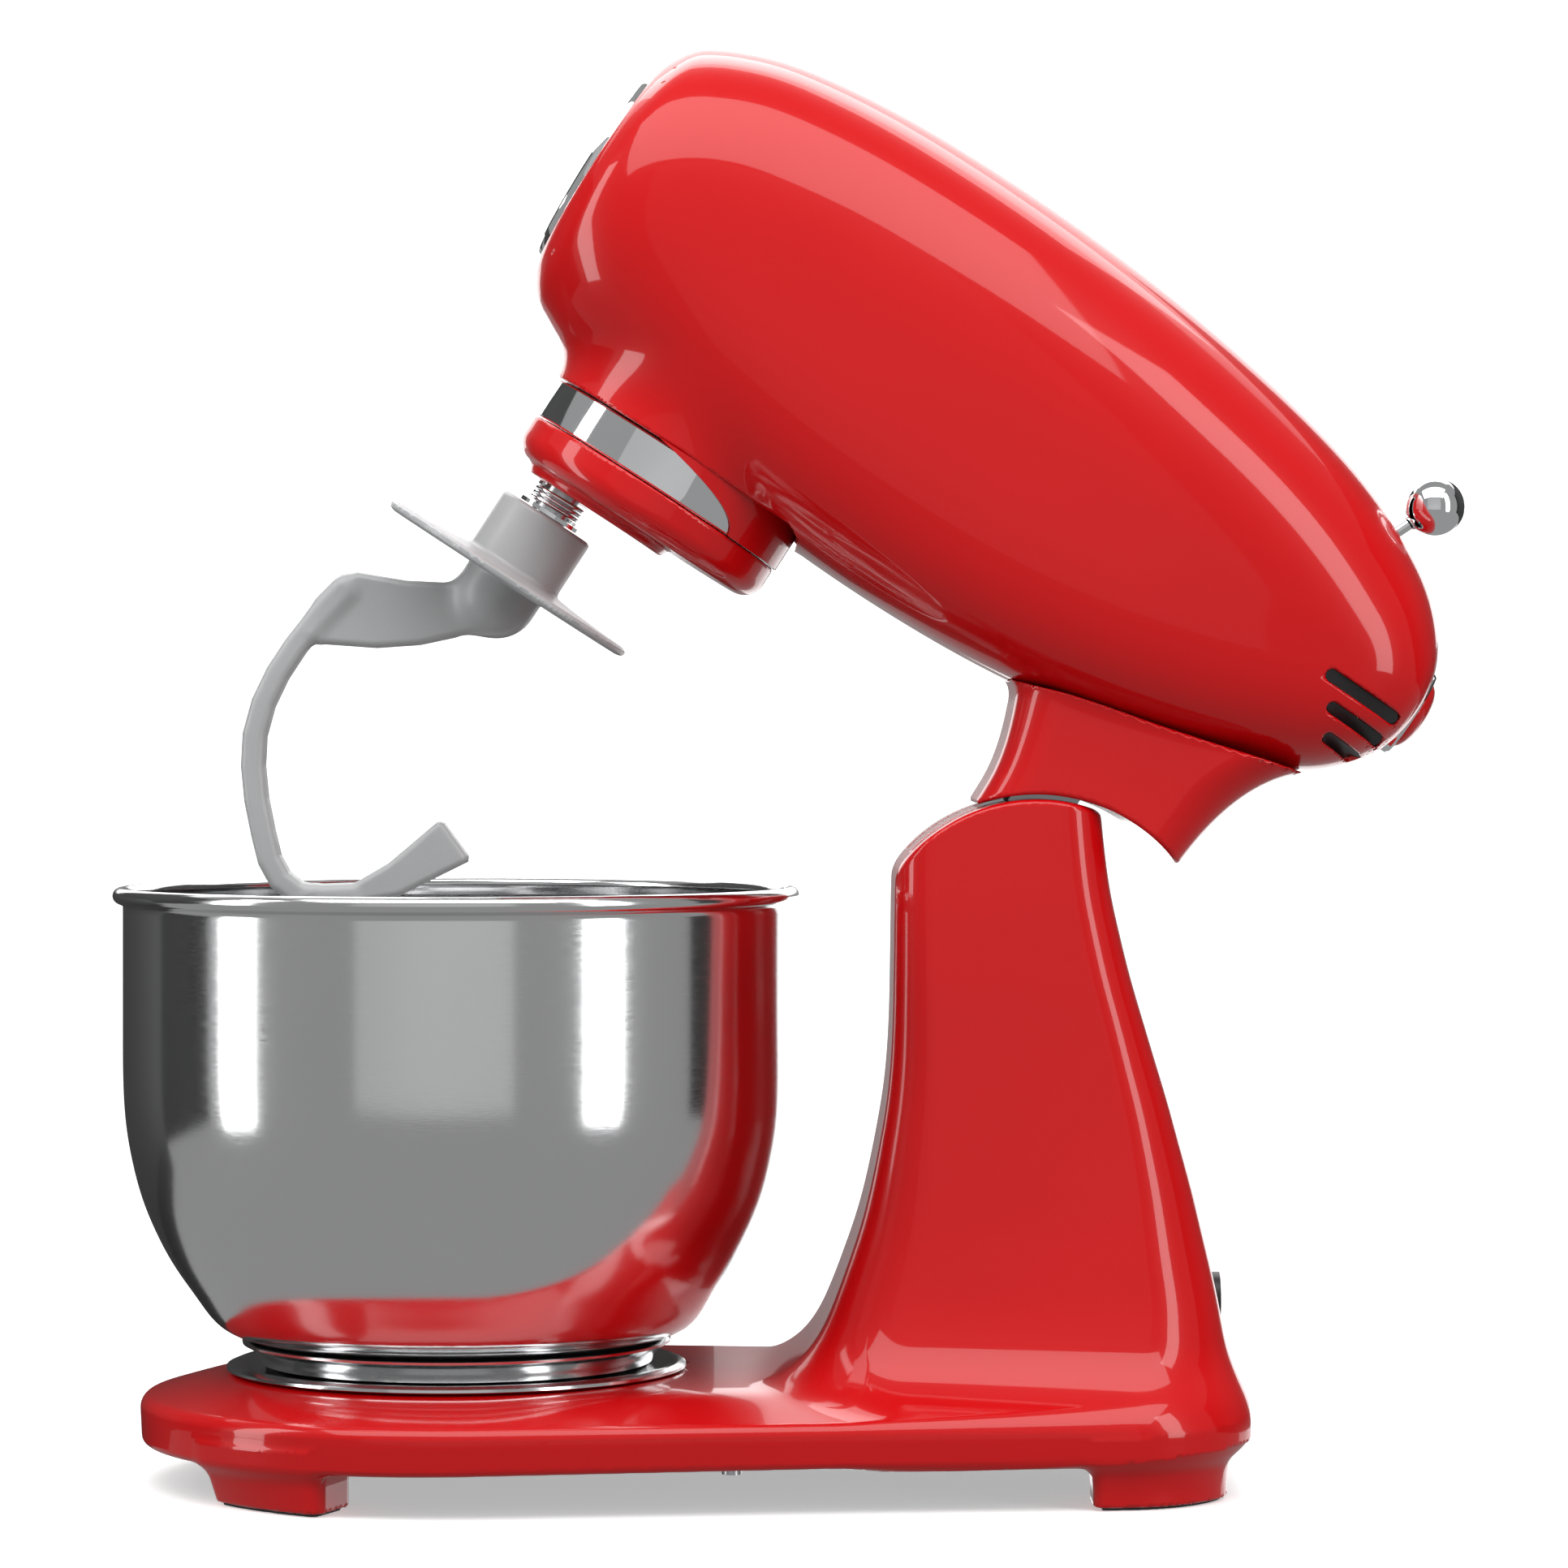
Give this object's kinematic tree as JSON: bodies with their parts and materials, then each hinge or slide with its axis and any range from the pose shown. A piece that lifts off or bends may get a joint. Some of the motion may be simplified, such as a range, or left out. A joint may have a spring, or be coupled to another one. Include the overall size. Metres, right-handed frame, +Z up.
{
  "type": "stand mixer",
  "caption": "Tilt-head stand mixer with its head raised: enamelled stand and head, polished steel bowl, planetary hub and a dough hook.",
  "frame": {"origin": "centre of the overall bounding box's foot, on the surface that the mixer stands on, head raised", "axes": "+X to the rear, +Y to the side away from the reference view, +Z up"},
  "size_m": [0.453, 0.2294, 0.4788],
  "materials": {
    "red_paint": "gloss",
    "chrome": "polished",
    "bowl_steel": "polished",
    "steel": "satin",
    "hook_grey": "satin",
    "cast_aluminium": "cast",
    "rubber": "matt",
    "black_plastic": "matt",
    "white_nylon": "matt",
    "copper": "lacquered",
    "core_iron": "matt",
    "board_green": "matt",
    "gasket": "matt"
  },
  "bodies": {
    "stand": {"stand_casting": "red_paint", "base_cover": "black_plastic", "base_screws": "steel", "rubber_feet": "rubber", "bowl_seat_plate": "steel", "seat_screws": "steel", "hinge_pin": "steel", "cord_gland": "black_plastic"},
    "bowl": {"bowl": "bowl_steel", "bowl_foot": "bowl_steel"},
    "head": {"head_shell": "red_paint", "head_lower": "red_paint", "hinge_bracket": "steel", "bracket_screws": "steel", "hub_ring": "chrome", "ring_gear": "steel", "gear_case": "cast_aluminium", "gear_case_lid": "cast_aluminium", "case_gasket": "gasket", "case_screws": "steel", "hub_bearing": "steel", "counter_bearings": "steel", "motor_stator": "core_iron", "field_coils": "copper", "motor_brackets": "cast_aluminium", "motor_bolts": "steel", "motor_spacers": "steel", "motor_bearings": "steel", "carbon_brushes": "black_plastic", "control_board": "board_green", "board_posts": "white_nylon", "speed_switch": "black_plastic", "speed_slot_plate": "chrome", "button_ring": "chrome", "latch_pin": "steel", "accessory_socket": "cast_aluminium", "vent_grille_left": "black_plastic", "vent_grille_right": "black_plastic", "button_spring": "steel"},
    "carrier": {"planet_carrier": "red_paint", "tool_bush": "copper", "main_shaft": "steel", "crown_gear": "steel"},
    "tool": {"tool_shaft": "steel", "planet_gear": "steel", "shaft_spring": "steel"},
    "hook": {"dough_hook": "hook_grey", "spring_seat": "chrome"},
    "counter": {"counter_shaft": "steel", "spur_gear": "white_nylon"},
    "rotor": {"motor_shaft": "steel", "motor_pinion": "steel", "motor_rotor": "core_iron", "commutator": "copper", "cooling_fan": "black_plastic"},
    "lever": {"lever_stem": "chrome", "lever_knob": "chrome"},
    "button": {"release_button": "red_paint"},
    "latch": {"latch_lever": "steel"},
    "cap": {"front_cap": "chrome"}
  },
  "joints": [
    {"name": "head_tilt", "type": "hinge", "parent": "stand", "child": "head", "pos_m": [0.0796, 0, 0.1714], "axis": [0, 1, 0], "range_deg": [-33, 0]},
    {"name": "planetary_spin", "type": "hinge", "parent": "head", "child": "carrier", "pos_m": [-0.05097, 0, 0.32416], "axis": [0.5446, 0, 0.8387], "continuous": true},
    {"name": "tool_spin", "type": "hinge", "parent": "carrier", "child": "tool", "pos_m": [-0.07235, 0, 0.33804], "axis": [0.5446, 0, 0.8387], "continuous": true},
    {"name": "hook_lift", "type": "slide", "parent": "tool", "child": "hook", "axis": [0.5446, 0, 0.8387], "range_m": [0, 0.005], "stiffness_N_per_m": 700, "springref_m": -0.012, "deforming": ["shaft_spring"]},
    {"name": "counter_spin", "type": "hinge", "parent": "head", "child": "counter", "pos_m": [0.02836, 0, 0.34955], "axis": [0.8387, 0, -0.5446], "continuous": true},
    {"name": "rotor_spin", "type": "hinge", "parent": "head", "child": "rotor", "pos_m": [0.10341, 0, 0.33658], "axis": [0.8387, 0, -0.5446], "continuous": true},
    {"name": "speed_lever", "type": "hinge", "parent": "head", "child": "lever", "pos_m": [0.15285, 0, 0.2842], "axis": [0, 1, 0], "range_deg": [-21, 0]},
    {"name": "release_press", "type": "slide", "parent": "head", "child": "button", "axis": [-0.8387, 0, 0.5446], "range_m": [0, 0.004], "stiffness_N_per_m": 900, "springref_m": -0.004, "deforming": ["button_spring"]},
    {"name": "latch_swing", "type": "hinge", "parent": "head", "child": "latch", "pos_m": [0.15159, 0, 0.25104], "axis": [0, 1, 0], "range_deg": [-7, 0]},
    {"name": "bowl_turn", "type": "hinge", "parent": "stand", "child": "bowl", "pos_m": [-0.1131, 0, 0.04], "axis": [0, 0, 1], "range_deg": [-25, 0]},
    {"name": "cap_pull", "type": "slide", "parent": "head", "child": "cap", "axis": [-0.8387, 0, 0.5446], "range_m": [0, 0.012]}
  ],
  "couplings": [
    {"joint": "tool_spin", "follows": "planetary_spin", "ratio": -3},
    {"joint": "counter_spin", "follows": "planetary_spin", "ratio": 2.5},
    {"joint": "rotor_spin", "follows": "planetary_spin", "ratio": -7.5},
    {"joint": "latch_swing", "follows": "release_press", "rad_per_m": -28.9}
  ]
}
